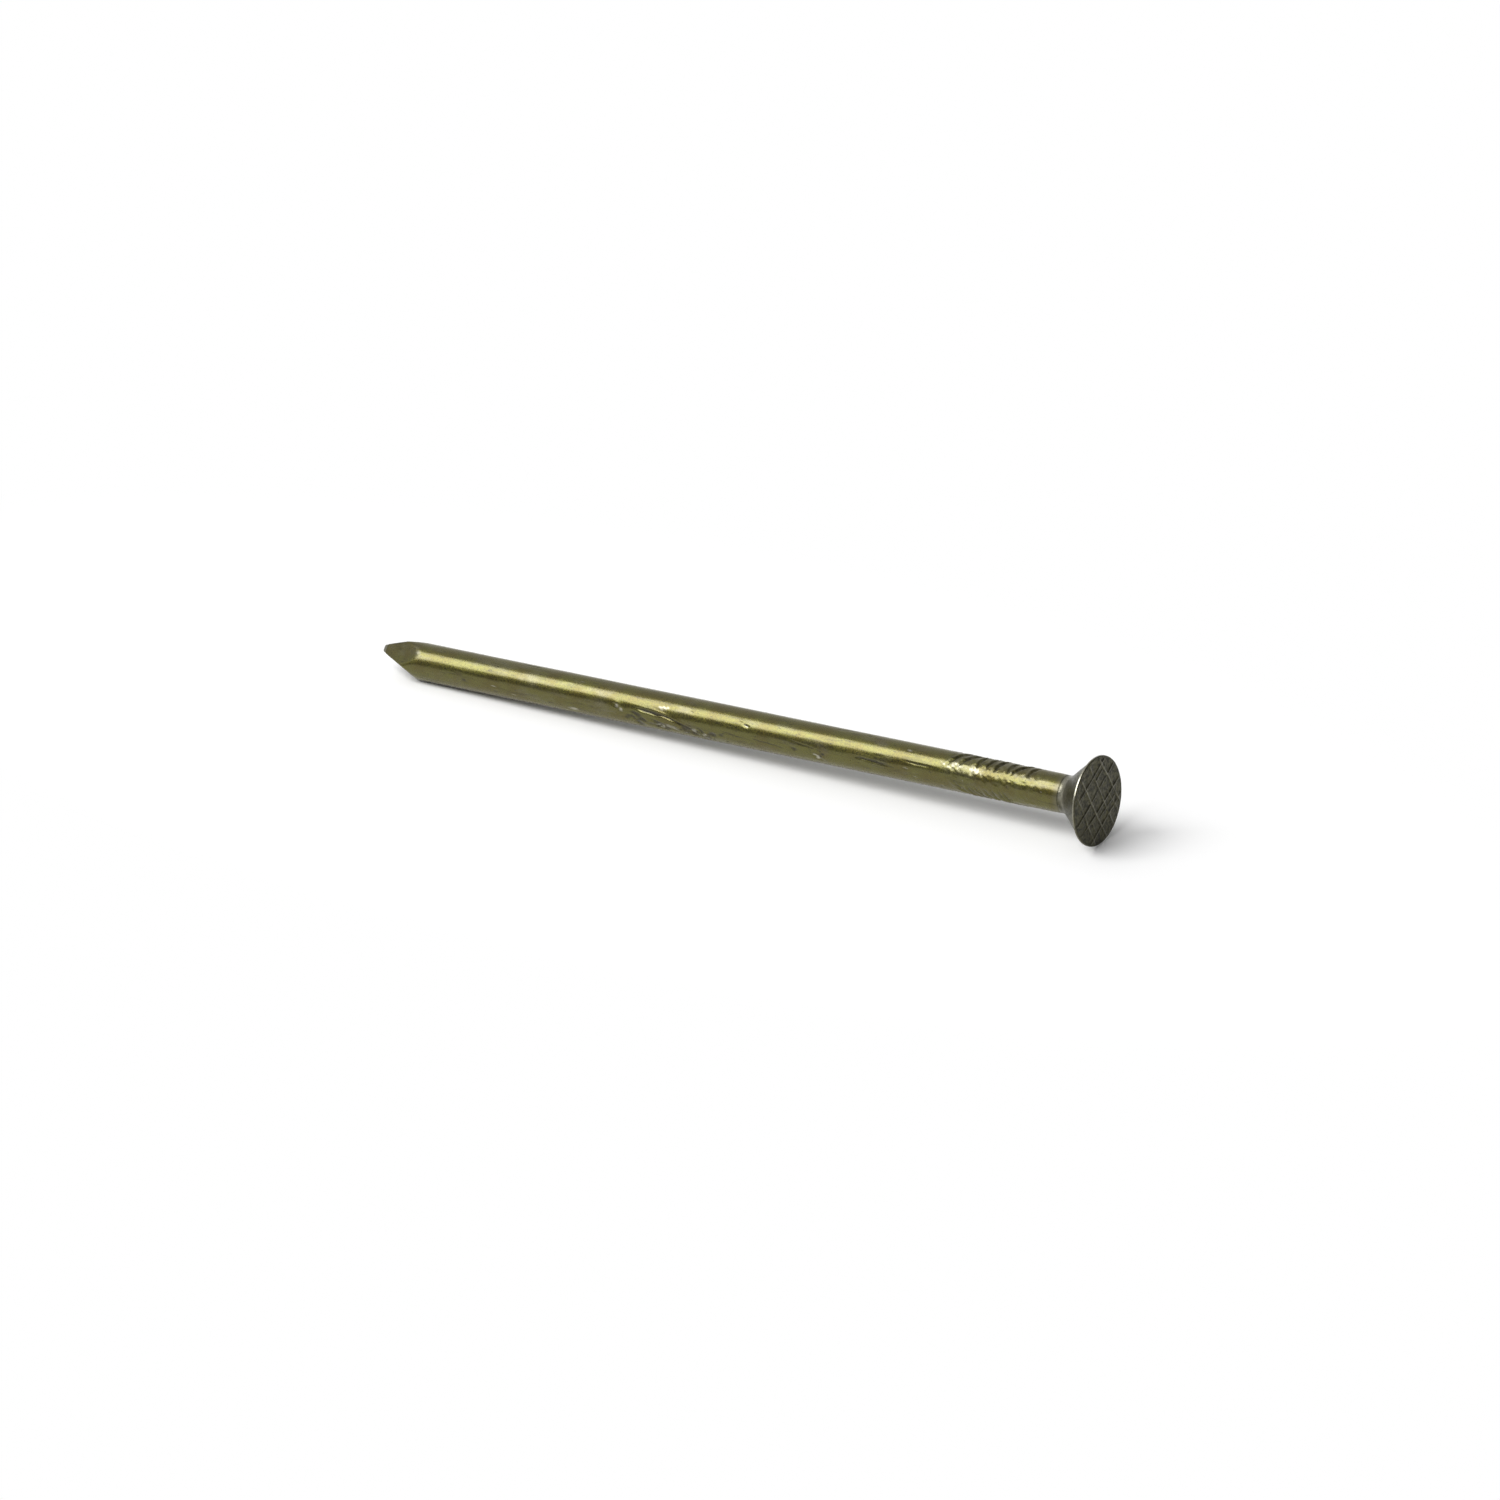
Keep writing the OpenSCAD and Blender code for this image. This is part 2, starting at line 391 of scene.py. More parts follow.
# Scars of the shank, in mm and degrees: place back from the face, turn, length, width, depth,
# slant from the nail's own direction, and from 0 to 1 how far the film is scraped off
SCARS = (
    (53.9, 14, 0.9, 0.5, 0.10, 30, 0.9),
    (53.2, 3, 0.7, 0.35, 0.08, 60, 0.9),
    (49.5, 13, 5.0, 0.42, 0.10, 6, 0.0),
    (46.4, -3, 6.4, 0.28, 0.12, 14, 0.0),
    (43.7, -25, 0.8, 0.4, 0.10, -40, 1.0),
    (51.4, 0, 1.8, 0.5, 0.07, 20, 0.0),
    (52.4, -12, 1.4, 0.6, 0.05, -20, 0.0),
    (49.0, -12, 2.2, 0.35, 0.07, 12, 0.0),
    (47.6, -20, 2.6, 0.7, 0.03, 6, 0.4),
    (48.6, 35, 2.4, 0.7, 0.0, 0, 0.5),
    (45.3, 40, 0.5, 0.35, 0.05, 0, 1.0),
    (39.6, 40, 0.4, 0.3, 0.06, 10, 1.0),
    (38.9, 33, 0.5, 0.3, 0.06, 20, 1.0),
    (40.5, -2, 3.4, 0.14, 0.06, 7, 0.0),
    (36.6, -6, 5.0, 0.15, 0.06, 5, 0.0),
    (33.4, -7, 0.9, 0.5, 0.07, 10, 0.0),
    (30.6, -20, 1.2, 0.5, 0.12, 35, 1.0),
    (30.2, -9, 0.9, 0.3, 0.09, -40, 0.0),
    (32.4, 12, 5.0, 0.16, 0.05, 8, 0.0),
    (24.4, 5, 5.2, 0.42, 0.11, 4, 0.0),
    (20.8, 4, 0.6, 0.4, 0.08, 0, 0.8),
    (72.6, 12, 1.2, 0.6, 0.02, 10, 0.0),
    (71.9, -6, 0.6, 0.3, 0.06, -50, 0.0),
    (71.6, -11, 0.7, 0.4, 0.06, 20, 0.4),
    (69.3, -2, 0.5, 0.22, 0.06, 10, 0.0),
    (68.3, -6, 0.3, 0.26, 0.05, 60, 1.0),
    (67.4, -10, 0.35, 0.3, 0.05, 0, 0.9),
    (66.1, -22, 0.4, 0.26, 0.05, 30, 0.9),
    (65.0, -26, 0.3, 0.22, 0.05, 0, 0.8),
    (59.0, -30, 1.2, 0.6, 0.04, 0, 0.7),
    (15.4, 42, 3.6, 0.9, 0.0, 0, 0.4),
    (12.9, 40, 2.6, 0.9, 0.0, 8, 0.5),
)
# The shank was dragged over these places and turns, which left many small scars
DRAGGED = ((41, 52), (-42, -8))
DRAG_SCARS, SCRATCHES, NICKS = 36, 34, 90


def scars():
    """The scars above and those of the dragged patch, then long scratches and nicks all round."""
    rng = np.random.default_rng(5)
    listed = list(SCARS)
    for _ in range(DRAG_SCARS):
        size = rng.uniform(0.3, 1.5)
        listed.append((rng.uniform(*DRAGGED[0]), rng.uniform(*DRAGGED[1]), size,
                       size * rng.uniform(0.25, 0.6), rng.uniform(0.04, 0.09),
                       rng.uniform(-50, 50), rng.choice([0.0, 0.0, 0.7])))
    for _ in range(SCRATCHES):
        length = rng.uniform(0.8, 4.5)
        listed.append((rng.uniform(18, 76), rng.uniform(0, 360), length, rng.uniform(0.08, 0.22),
                       rng.uniform(0.015, 0.05), rng.normal(0, 8), 0.0))
    for _ in range(NICKS):
        size = rng.uniform(0.2, 0.6)
        listed.append((rng.uniform(5, 78), rng.uniform(0, 360), size, size * rng.uniform(0.4, 0.8),
                       rng.uniform(0.02, 0.05), rng.uniform(-40, 40),
                       rng.choice([0.0, 0.0, 0.6])))
    return listed


def scarred(back, turn):
    """Depth of the scars, how bare each leaves the steel, and how dark each is painted as shade in
    its hollow.
    """
    depth = np.zeros(np.broadcast(back, turn).shape)
    bare = np.zeros_like(depth)
    dirt_and_shade = np.zeros_like(depth)
    points = on_nail(back, FILM_RADIUS, turn)
    ragged = rough_noise(points, 0.45 * MM, 31)
    speckled = rough_noise(points, 0.22 * MM, 35)
    for place, middle, length, width, deep, slant, scraped in scars():
        along = back - place * MM
        across = FILM_RADIUS * turn_gap(turn, math.radians(middle)) + 0.07 * MM * ragged
        c, s = math.cos(math.radians(slant)), math.sin(math.radians(slant))
        u = (along * c + across * s) / (length * MM / 2)
        v = (across * c - along * s) / (width * MM / 2)
        inside = 1 - u ** 2 - v ** 2 + 0.5 * ragged
        lip = np.exp(-((0.8 * u) ** 2 + (v - 1.2) ** 2) * 2)
        depth += deep * MM * (smooth_step(0, 0.9, inside) - 0.35 * lip)
        bare = np.maximum(bare, scraped * smooth_step(0.5, 0.8, inside + 1.3 * speckled - 0.2))
        # painted shade: a scar that keeps its film is darkened in proportion to its depth, over its
        # inside
        shade_share = min(deep / 0.06, 1) * (1 - scraped)
        dirt_and_shade = np.maximum(dirt_and_shade, shade_share * smooth_step(0.1, 0.8, inside + 0.5 * speckled))
    return depth, bare, dirt_and_shade


def weathered(back, turn):
    """How far the surface lies below the plain wire, and marks for its finish."""
    points = on_nail(back, FILM_RADIUS, turn)
    grip, lips = gripped_depth(back, turn)
    scar, bare, dirt_and_shade = scarred(back, turn)
    straight = smooth_step(*WIRE_STARTS, back)
    gripped = smooth_step(*GRIP_ENDS, back) * smooth_step(*GRIP_STARTS, back)
    chewed = rough_noise(points, 0.42 * MM, 3) * gripped
    sway = lattice_noise(points * np.array([0.25, 1, 1]), 1.6 * MM, 8)
    grain = rough_noise(points * np.array([0.4, 1, 1]), 0.3 * MM, 21)
    sink = grip + scar + straight * (0.012 * MM * sway + 0.004 * MM * grain)
    sink += 0.05 * MM * chewed - 0.035 * MM * lips
    on_top = smooth_step(0.55, 0.85, np.sin(turn))
    bitten = rough_noise(points, 0.34 * MM, 45) * gripped * on_top
    # painted shade: the gripper notches are darkened in proportion to their depth
    notch_shade = grip / (0.16 * MM) * (0.6 + 0.4 * grain)
    marks = {
        "bare": bare,
        "rubbed_and_highlight": np.clip(0.6 * lips + 0.6 * chewed - bitten, 0, 1),
        "dirt_and_shade": np.clip(np.maximum(dirt_and_shade, notch_shade) + bitten, 0, 1),
    }
    return sink, marks


# ---------------------------------------------------------------- mesh tools


def grid_faces(rows, columns, first=0):
    """Quads between rings of equal size, the ring closing on itself."""
    i, j = np.meshgrid(np.arange(rows - 1), np.arange(columns), indexing="ij")
    a = first + i * columns + j
    b = first + i * columns + (j + 1) % columns
    return np.stack([a, b, b + columns, a + columns], axis=-1).reshape(-1, 4)


def halving_faces(many, few, first_many, first_few):
    """Faces between a ring and one of half as many points."""
    faces = []
    for k in range(few):
        a, b, c = (first_many + (2 * k + n) % many for n in range(3))
        d, e = first_few + k, first_few + (k + 1) % few
        faces += [(a, b, d), (b, e, d), (b, c, e)]
    return faces


def new_piece(name, points, faces, marks, material, node):
    """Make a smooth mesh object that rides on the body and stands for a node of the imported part.
    marks holds named per-point values that its material reads."""
    mesh = bpy.data.meshes.new(name)
    mesh.from_pydata([tuple(p) for p in points], [], [tuple(int(i) for i in f) for f in faces])
    for key, values in marks.items():
        mesh.attributes.new(key, "FLOAT", "POINT").data.foreach_set("value", values.ravel())
    mesh.validate()
    mesh.update()
    mesh.shade_smooth()
    mesh.materials.append(material)
    piece = bpy.data.objects.new(name, mesh)
    bpy.context.scene.collection.objects.link(piece)
    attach(piece, BODY)
    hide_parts(node)


# ---------------------------------------------------------------- material tools


class Graph:
    """Adds and joins the nodes of one material or world."""

    def __init__(self, owner):
        owner.use_nodes = True
        self.owner = owner
        self.tree = owner.node_tree
        self.tree.nodes.clear()

    def add(self, kind, settings=None, **inputs):
        """A node with its settings made and each input linked to a socket or set to a value."""
        node = self.tree.nodes.new(kind)
        for key, value in (settings or {}).items():
            setattr(node, key, value)
        for key, value in inputs.items():
            socket = self.socket(node, key)
            if isinstance(value, bpy.types.NodeSocket):
                self.tree.links.new(value, socket)
            else:
                socket.default_value = value
        return node

    @staticmethod
    def socket(node, key):
        """An input by its name with _ for spaces, or by its number as in i6."""
        if key[0] == "i" and key[1:].isdigit():
            return node.inputs[int(key[1:])]
        return node.inputs[key.replace("_", " ")]

    def noise(self, vector, scale, detail=3.0, roughness=0.55):
        """Noise from 0 to 1 over a vector."""
        return self.add("ShaderNodeTexNoise", Vector=vector, Scale=scale, Detail=detail,
                        Roughness=roughness).outputs["Fac"]

    def ramp(self, value, low, high, to_low=0.0, to_high=1.0):
        """A smooth step of value, from to_low at low to to_high at high."""
        return self.add("ShaderNodeMapRange", {"interpolation_type": "SMOOTHSTEP"}, Value=value,
                        From_Min=low, From_Max=high, To_Min=to_low, To_Max=to_high).outputs[0]

    def mix(self, factor, first, second):
        """A mix of two colours."""
        node = self.add("ShaderNodeMix", {"data_type": "RGBA"}, i0=factor, i6=first, i7=second)
        return node.outputs[2]

    def blend(self, factor, first, second):
        """A mix of two numbers."""
        return self.add("ShaderNodeMix", {"data_type": "FLOAT"}, i0=factor, i2=first,
                        i3=second).outputs[0]

    def math(self, operation, first, second=0.0, clamp=False):
        """Two numbers joined by an operation."""
        return self.add("ShaderNodeMath", {"operation": operation, "use_clamp": clamp}, i0=first,
                        i1=second).outputs[0]

    def attribute(self, name):
        """A named value of the mesh's points."""
        return self.add("ShaderNodeAttribute", {"attribute_name": name}).outputs["Fac"]

    def stretched(self, scale):
        """The place on the object, scaled, so that noise over it is drawn out or packed."""
        place = self.add("ShaderNodeTexCoord").outputs["Object"]
        return self.add("ShaderNodeMapping", Vector=place, Scale=scale).outputs[0]

    def finish(self, shader):
        """The material, now with this shader."""
        self.add("ShaderNodeOutputMaterial", Surface=shader.outputs[0])
        return self.owner


def rgba(colour):
    """An opaque colour."""
    return (*colour, 1.0)


def film_material():
    """Olive-gold resin over drawn steel: frosty in the light, mottled, scraped in places, with
    painted shade in its scars and gripper marks and a painted highlight on the point's upper edges.
    """
    film = bpy.context.scene.nail_film
    steel = bpy.context.scene.nail_steel
    g = Graph(bpy.data.materials.new("resin_film"))
    plain = g.stretched((1, 1, 1))
    mottle = g.noise(plain, 420, 4)
    patches = g.noise(g.stretched((0.35, 1, 1)), 900, 3)
    streaks = g.noise(g.stretched((0.12, 1, 1)), 2200, 4, 0.65)
    flecks = g.noise(g.stretched((0.4, 1, 1)), 3200, 3, 0.7)
    frost = g.noise(plain, 5200, 2, 0.7)
    lines = g.noise(g.stretched((0.06, 1, 1)), 5200, 2)
    waves = g.noise(g.stretched((0.3, 1, 1)), 1300, 3)
    bare, rubbed_and_highlight, dirt_and_shade = (g.attribute(name) for name in ("bare", "rubbed_and_highlight", "dirt_and_shade"))
    colour = g.mix(g.ramp(mottle, 0.38, 0.62), rgba(film.olive), rgba(film.bronze))
    colour = g.mix(g.ramp(patches, 0.5, 0.75, 0, 0.55), colour, rgba(film.grey))
    colour = g.mix(g.math("MULTIPLY", rubbed_and_highlight, 0.8), colour, rgba(film.grey))
    colour = g.mix(g.ramp(streaks, 0.5, 0.7, 0, 0.4), colour, rgba(film.soil_and_shade))
    colour = g.mix(g.ramp(flecks, 0.62, 0.7, 0, 0.75), colour, rgba(film.soil_and_shade))
    # painted shade in the scars and gripper notches, with mottled dirt on the gripped top
    colour = g.mix(g.math("MULTIPLY", dirt_and_shade, 0.85), colour, rgba(film.soil_and_shade))
    # scraped film shows bare steel, and on the point's upper edges this is also a painted highlight
    colour = g.mix(bare, colour, rgba(steel.worn_and_highlight_colour))
    rough = g.blend(g.ramp(frost, 0.35, 0.7), 0.245, 0.385)
    rough = g.blend(bare, g.blend(rubbed_and_highlight, rough, 0.42), 0.3)
    height = g.math("ADD", g.math("MULTIPLY", frost, 0.7), g.math("MULTIPLY", lines, 0.5))
    height = g.math("ADD", height, g.math("MULTIPLY", waves, 1.6))
    bump = g.add("ShaderNodeBump", Strength=0.35, Distance=0.02 * MM, Height=height)
    shader = g.add("ShaderNodeBsdfPrincipled", Base_Color=colour, Metallic=1.0, Roughness=rough,
                   Specular_Tint=rgba(film.edge), Coat_Weight=0.75, Coat_Roughness=0.2,
                   Coat_IOR=1.5, Normal=bump.outputs[0])
    return g.finish(shader)


def steel_material():
    """Dull dark steel, blackened in patches, with the high places rubbed bright and a painted
    highlight on the rim.
    """
    steel = bpy.context.scene.nail_steel
    g = Graph(bpy.data.materials.new("cold_headed_steel"))
    plain = g.stretched((1, 1, 1))
    drawn = g.stretched((0.12, 1, 1))
    blotch = g.noise(plain, 1100, 4)
    grime = g.noise(plain, 2600, 3, 0.65)
    grit = g.noise(plain, 5200, 3, 0.65)
    lines = g.noise(drawn, 4200, 3)
    rubbed_and_highlight = g.attribute("rubbed_and_highlight")
    struck = g.attribute("struck")
    soot = tuple(0.32 * c for c in steel.colour)
    colour = g.mix(g.ramp(blotch, 0.35, 0.65), rgba(steel.colour), rgba(steel.film_tint))
    sooty = g.math("MULTIPLY", g.ramp(grime, 0.42, 0.62), g.blend(struck, 0.5, 0.9))
    colour = g.mix(sooty, colour, rgba(soot))
    colour = g.mix(g.ramp(lines, 0.5, 0.8, 0, 0.1), colour, rgba(steel.worn_and_highlight_colour))
    # rubbed high places, and the rim's painted highlight, take the lighter worn colour
    colour = g.mix(rubbed_and_highlight, colour, rgba(steel.worn_and_highlight_colour))
    gritty = g.ramp(grit, 0.3, 0.7)
    rough = g.blend(gritty, g.blend(struck, 0.28, 0.38), g.blend(struck, 0.44, 0.55))
    rough = g.blend(rubbed_and_highlight, rough, 0.24)
    height = g.math("ADD", g.math("MULTIPLY", grit, 0.8), g.math("MULTIPLY", lines, 0.6))
    bump = g.add("ShaderNodeBump", Strength=g.blend(rubbed_and_highlight, 0.6, 0.15), Distance=0.03 * MM,
                 Height=height)
    shader = g.add("ShaderNodeBsdfPrincipled", Base_Color=colour, Metallic=0.9, Roughness=rough,
                   Normal=bump.outputs[0])
    return g.finish(shader)


# ---------------------------------------------------------------- the steel nail

# The ridges of each crossing row, in mm and degrees: offset from the middle of the face, start and
# end along the ridge, skew, and height as a share of the full height. Those that end on the face
# are where the die had worn.
RIDGE_ROWS = (
    ((-2.65, -9, 9, 2, 1.0), (-0.75, -9, 9, -1, 1.0), (1.0, -9, 9, 1, 1.0), (2.65, -9, 9, -3, 0.9),
     (-1.75, -3.4, -0.5, 4, 0.6), (1.9, -2.8, -0.6, -5, 0.6)),
    ((-2.55, -9, 9, 1, 1.0), (-0.8, -9, 9, -2, 1.0), (0.9, -9, 9, 2, 1.0), (2.7, -9, 9, 0, 0.9),
     (-1.7, -1.2, 2.6, -4, 0.7), (1.9, 0.6, 3.0, 5, 0.55)),
)
# How bright the end of the tip is, where it was cut
TIP_RUBBED = 0.35
# The rim is painted lighter most at this turn, as a painted highlight where the softbox is seen in
# it
RIM_HIGHLIGHT_TURN = math.radians(42)
# The rim starts to slope this far ahead of its back edge
RIM_ROUND = 0.03 * MM


def head_outline(steel, wire):
    """Points (back, radius) from the edge of the face over the rim and cone to the wire, and where
    the neck ends."""
    half = steel.seat_angle / 2
    face = steel.ridge_height
    rim_back = face + steel.rim_land
    cone_top = rim_back + steel.rim_slope
    cone_radius = HEAD_RADIUS - steel.rim_lip
    cone_foot = cone_top + (cone_radius - wire) / math.tan(half)
    run = steel.neck_radius * math.tan(half / 2)
    edge = steel.edge_round
    points = []
    for t in np.linspace(0, math.pi / 2, 7):
        points.append((face + edge * (1 - math.cos(t)), HEAD_RADIUS - edge * (1 - math.sin(t))))
    points.append(((face + edge + rim_back) / 2, HEAD_RADIUS))
    for t in np.linspace(0, 1, 6):
        drop = t * t * (3 - 2 * t)
        points.append((rim_back - RIM_ROUND + (steel.rim_slope + RIM_ROUND) * t,
                       HEAD_RADIUS - steel.rim_lip * drop))
    fillet_top = cone_foot - run * math.cos(half)
    for t in np.linspace(0.06, 1, 20):
        back = cone_top + (fillet_top - cone_top) * t
        points.append((back, cone_radius - (back - cone_top) * math.tan(half)))
    neck_end = cone_foot + run
    for t in np.linspace(0.08, 1, 12):
        a = half * (1 - t)
        points.append((neck_end - steel.neck_radius * math.sin(a),
                       wire + steel.neck_radius * (1 - math.cos(a))))
    return points, neck_end


def face_relief(radius, turn, steel):
    """Height of the struck face above its squares, and how rubbed it is there."""
    x, y = radius * np.cos(turn), radius * np.sin(turn)
    flat = np.stack([x, y, np.zeros_like(x)], axis=-1)
    height = np.zeros_like(radius)
    for row, ridges in enumerate(RIDGE_ROWS):
        lie = steel.ridge_turn + row * math.pi / 2
        along = x * math.cos(lie) + y * math.sin(lie)
        across = x * math.sin(lie) - y * math.cos(lie)
        for k, (offset, start, end, skew, tall) in enumerate(ridges):
            wander = 0.07 * MM * lattice_noise(flat, 1.6 * MM, 40 + 7 * row + k)
            broken = smooth_step(-0.8, 0.0, lattice_noise(flat, 0.9 * MM, 60 + 7 * row + k))
            middle = offset * MM + along * math.tan(math.radians(skew)) + wander
            near = np.abs(across - middle) / (steel.ridge_width / 2)
            ends = (smooth_step(start - 0.3, start + 0.3, along / MM)
                    * smooth_step(end + 0.3, end - 0.3, along / MM))
            ridge = tall * np.exp(-near ** 2) * (0.4 + 0.6 * broken) * ends
            height = np.maximum(height, ridge)
    band = smooth_step(HEAD_RADIUS - 0.12 * MM, HEAD_RADIUS - 0.4 * MM, radius)
    hammered = rough_noise(flat, 0.5 * MM, 90)
    relief = steel.ridge_height * height * band + 0.026 * MM * hammered * band
    rubbed_and_highlight = smooth_step(0.35, 0.95, height) * band * (0.26 + 0.25 * hammered)
    return relief, np.clip(rubbed_and_highlight, 0, 1)


def build_face(steel, columns):
    """Rings of the struck face from its middle to its edge."""
    turn = turns(columns)
    flat_radius = HEAD_RADIUS - steel.edge_round
    radius = np.linspace(0, flat_radius, FACE_RINGS + 1)[1:-1]
    ring, around = np.meshgrid(radius, turn, indexing="ij")
    relief, rubbed_and_highlight = face_relief(ring, around, steel)
    return on_head(steel.ridge_height - relief, ring, around, steel), rubbed_and_highlight


def build_head(steel, outline, columns):
    """Rings of the rim, cone and neck."""
    turn = turns(columns)
    back = np.array([p[0] for p in outline])[:, None]
    radius = np.array([p[1] for p in outline])[:, None]
    back, around = np.broadcast_arrays(back, turn[None, :])
    radius = np.broadcast_to(radius, back.shape)
    points = on_nail(back, radius, around)
    share = smooth_step(FILM_RADIUS, 1.6 * FILM_RADIUS, radius)
    uneven = lattice_noise(points, 2.2 * MM, 14) * share
    seams = rough_noise(points * np.array([0.15, 1, 1]), 0.3 * MM, 77)
    radius = radius - 0.03 * MM * np.abs(uneven) + 0.012 * MM * seams * (1 - 0.5 * share)
    edge = steel.ridge_height + steel.edge_round
    behind_edge = smooth_step(edge - 0.04 * MM, edge + 0.01 * MM, back)
    rim = behind_edge * smooth_step(HEAD_RADIUS - 0.25 * MM, HEAD_RADIUS - 0.1 * MM, radius)
    worn = rough_noise(points, 0.6 * MM, 9)
    # painted highlight: the rim is lightened most toward the softbox's turn, over a little wear all
    # round
    rim = rim * (0.25 + 0.65 * np.exp(-(turn_gap(around, RIM_HIGHLIGHT_TURN) / 0.75) ** 2))
    rubbed_and_highlight = np.clip(rim * (1 + 0.4 * worn) + (1 - share) * (0.3 + 0.5 * worn), 0, 1)
    return on_head(back, radius, around, steel), rubbed_and_highlight


def build_core(start, columns):
    """Rings of the wire under the film, to the tip."""
    turn = turns(columns)
    marked = (11.5 * MM, 5.5 * MM, 4)
    pointed = (NAIL_LENGTH - 1.5 * MM, 2.5 * MM, 3)
    rows = gathered(start, NAIL_LENGTH, CORE_ROWS, (marked, pointed))
    back, around = np.meshgrid(rows, turn, indexing="ij")
    sink, _ = weathered(back, around)
    settle = smooth_step(start, start + 0.3 * MM, back)
    tip_share = near_tip(back)
    tuck = 0.015 * MM * (1 - tip_share) * settle
    radius = wire_radius(back, around) - (sink * (1 - tip_share) + tuck) * settle
    return on_wire(back, radius, around), TIP_RUBBED * tip_share


def build_steel():
    """The whole headed wire as one closed mesh."""
    scene = bpy.context.scene
    steel, film = scene.nail_steel, scene.nail_film
    outline, neck_end = head_outline(steel, FILM_RADIUS - film.thickness)
    face, face_rubbed = build_face(steel, HEAD_COLUMNS)
    head, head_rubbed_and_highlight = build_head(steel, outline, HEAD_COLUMNS)
    core, core_rubbed = build_core(neck_end + 0.05 * MM, SHANK_COLUMNS)
    upper = np.concatenate([face, head])
    middle = on_head(steel.ridge_height, 0.0, 0.0, steel)[None, :]
    tip = on_wire(NAIL_LENGTH, 0.0, 0.0)[None, :]
    points = np.concatenate([upper.reshape(-1, 3), core.reshape(-1, 3), middle, tip])
    rubbed_and_highlight = np.concatenate([face_rubbed.ravel(), head_rubbed_and_highlight.ravel(), core_rubbed.ravel(),
                             [0.0], [TIP_RUBBED]])
    middle_index, tip_index = len(points) - 2, len(points) - 1
    struck = np.zeros(len(points))
    struck[:face_rubbed.size] = 1
    struck[middle_index] = 1
    core_first = upper.shape[0] * HEAD_COLUMNS
    faces = [*grid_faces(upper.shape[0], HEAD_COLUMNS)]
    faces += [*grid_faces(core.shape[0], SHANK_COLUMNS, core_first)]
    faces += halving_faces(HEAD_COLUMNS, SHANK_COLUMNS, core_first - HEAD_COLUMNS, core_first)
    last = middle_index - SHANK_COLUMNS
    for k in range(HEAD_COLUMNS):
        faces.append((middle_index, (k + 1) % HEAD_COLUMNS, k))
    for k in range(SHANK_COLUMNS):
        faces.append((tip_index, last + k, last + (k + 1) % SHANK_COLUMNS))
    marks = {"rubbed_and_highlight": rubbed_and_highlight, "struck": struck}
    new_piece("nail_steel", points, faces, marks, steel_material(), "steel_nail")


# ---------------------------------------------------------------- the film

# The end rings stand this share of the length off the ends, which keeps the shading of the end
# faces off the rest
END_ROW = 0.0003
# How far the top edge wavers and over what size, and the lengths over which each end thins
EDGE_WAVER = 0.16 * MM
WAVER_SIZE = 0.9 * MM
TOP_TAPER = 0.9 * MM
TIP_TAPER = 0.25 * MM
# Share of the thickness that is left at the ends, and share of it between outside and inside
THIN_END = 0.08
WALL_SHARE = 0.98


def film_shell(inside):
    """Rings of the film's outside or of its inside, with marks for its finish."""
    scene = bpy.context.scene
    film, steel = scene.nail_film, scene.nail_steel
    _, neck_end = head_outline(steel, FILM_RADIUS - film.thickness)
    top, end = neck_end + film.gap, NAIL_LENGTH - film.bare_tip
    rows = gathered(0.0, 1.0, film.rows, ((0.1, 0.08, 3.5), (0.99, 0.03, 3.0), (0.5, 0.17, 0.7)))
    rows[1], rows[-2] = END_ROW, 1 - END_ROW
    share, around = np.meshgrid(rows, turns(film.columns), indexing="ij")
    edge = on_nail(top, FILM_RADIUS, around[0])
    waver = EDGE_WAVER * rough_noise(edge, WAVER_SIZE, 51)
    back = top + waver[None, :] * (1 - share) ** 8 + (end - top) * share
    sink, marks = weathered(back, around)
    taper = np.minimum(smooth_step(0, TOP_TAPER, back - back[:1]),
                       smooth_step(0, TIP_TAPER, back[-1:] - back))
    thick = film.thickness * (THIN_END + (1 - THIN_END) * taper)
    radius = wire_radius(back, around) + thick - sink * (1 - near_tip(back))
    if inside:
        radius = radius - thick * WALL_SHARE
    round_part, facets = wire_sides(back, around)
    points = on_wire(back, radius, around)
    # The point's facet edges show bare steel only on the upper side, where the softbox lights them:
    # partly worn edge, partly painted highlight
    chafed = smooth_step(-0.1, 0.5, rough_noise(points, 0.5 * MM, 71))
    upper = smooth_step(0.2, 0.9, np.sin(around))
    ridge = np.exp(-((facets - round_part) / (0.05 * MM)) ** 2) * chafed * upper
    facet = smooth_step(0, 0.1 * MM, round_part - facets)
    top_edge = smooth_step(0.7 * MM, 0.1 * MM, back - back[:1])
    marks["bare"] = np.maximum(marks["bare"], 0.6 * ridge)
    marks["dirt_and_shade"] = np.maximum(marks["dirt_and_shade"], 0.22 * facet * (1 - ridge))
    marks["rubbed_and_highlight"] = np.maximum(marks["rubbed_and_highlight"], 0.8 * top_edge)
    return points, marks


def build_film():
    """The film as a thin closed tube."""
    outer, marks = film_shell(False)
    inner, _ = film_shell(True)
    rows, columns = outer.shape[:2]
    points = np.concatenate([outer.reshape(-1, 3), inner.reshape(-1, 3)])
    first = rows * columns
    faces = [*grid_faces(rows, columns)]
    faces += [tuple(reversed(f)) for f in grid_faces(rows, columns, first)]
    for k in range(columns):
        n = (k + 1) % columns
        faces.append((n, k, first + k, first + n))
        low = first - columns
        faces.append((low + k, low + n, first + low + n, first + low + k))
    marks = {key: np.tile(values.ravel(), 2) for key, values in marks.items()}
    new_piece("nail_film", points, faces, marks, film_material(), "resin_coating")


# ---------------------------------------------------------------- stage

# Half the side of the floor, in metres
FLOOR_HALF = 4.0
# The softbox: its direction, its distance, and its width and height in metres
KEY_TOWARD = (-0.32, -0.57, 0.74)
KEY_DISTANCE = 1.0
KEY_SIZE = (1.0, 0.62)


